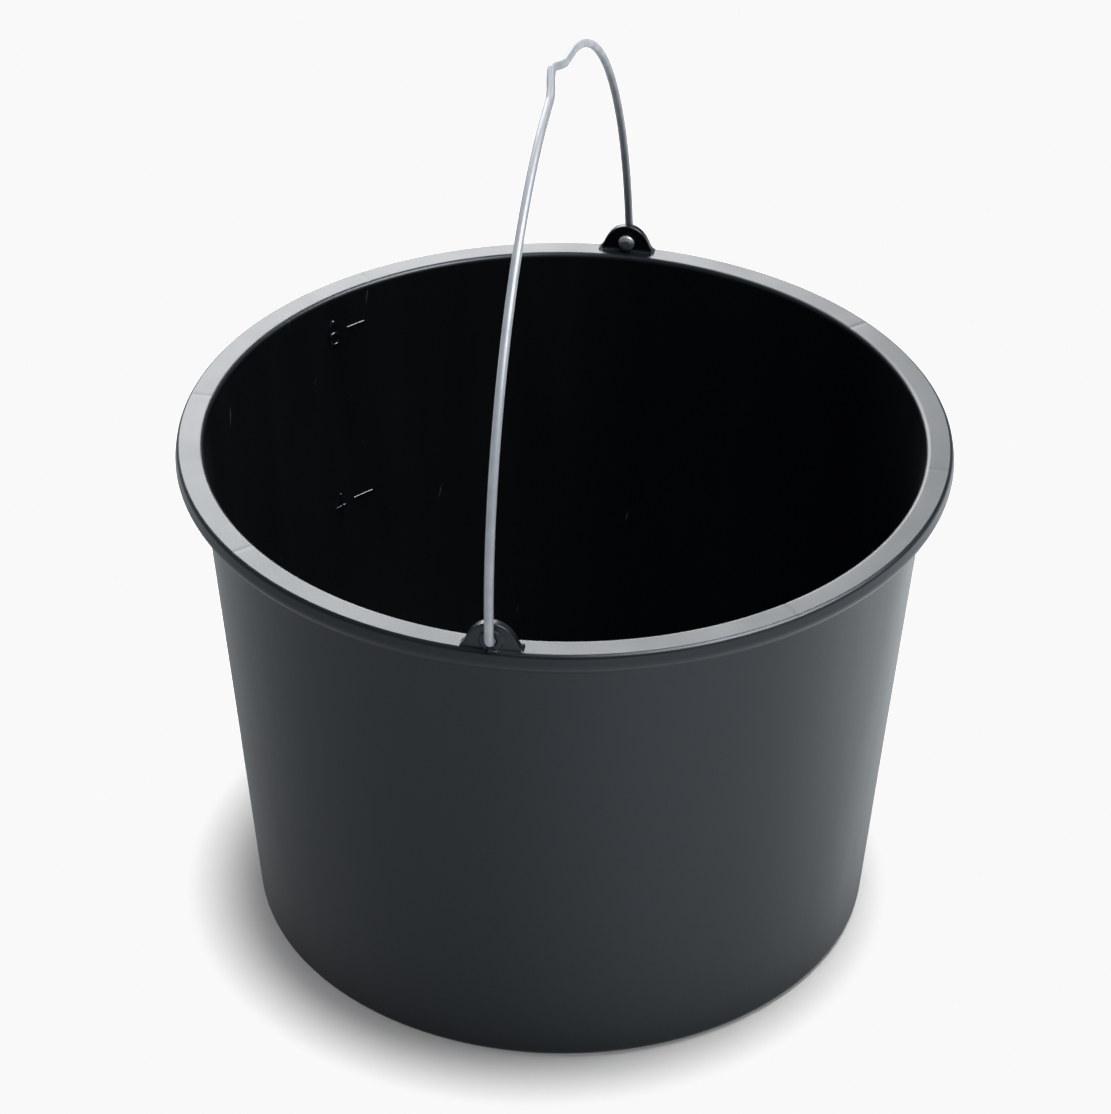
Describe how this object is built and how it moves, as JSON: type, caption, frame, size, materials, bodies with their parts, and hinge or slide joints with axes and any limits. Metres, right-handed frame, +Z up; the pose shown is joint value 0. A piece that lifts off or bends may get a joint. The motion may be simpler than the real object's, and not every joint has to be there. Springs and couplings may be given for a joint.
{
  "type": "florist bucket",
  "caption": "Round tapered moulded bucket for cut flowers, with a flanged rim, two ears and a swinging wire bail with a notch for a hook.",
  "frame": {"origin": "centre of the base, on the ground", "axes": "+Z up along the bucket's axis; +Y from the middle towards one ear, along the bail's pivot line; +X to the right of it, across the bail"},
  "size_m": [0.26, 0.265, 0.3176],
  "materials": {
    "black_polypropylene": "satin black injection-moulded polypropylene",
    "galvanised_wire": "bright zinc-plated drawn steel wire"
  },
  "bodies": {
    "bucket": {"bucket": "black_polypropylene"},
    "bail": {"bail": "galvanised_wire"}
  },
  "joints": [
    {"name": "bail_swing", "type": "hinge", "parent": "bucket", "child": "bail", "pos_m": [0, 0, 0.1844], "axis": [0, 1, 0], "range_deg": [-88.2, 91.9]}
  ]
}
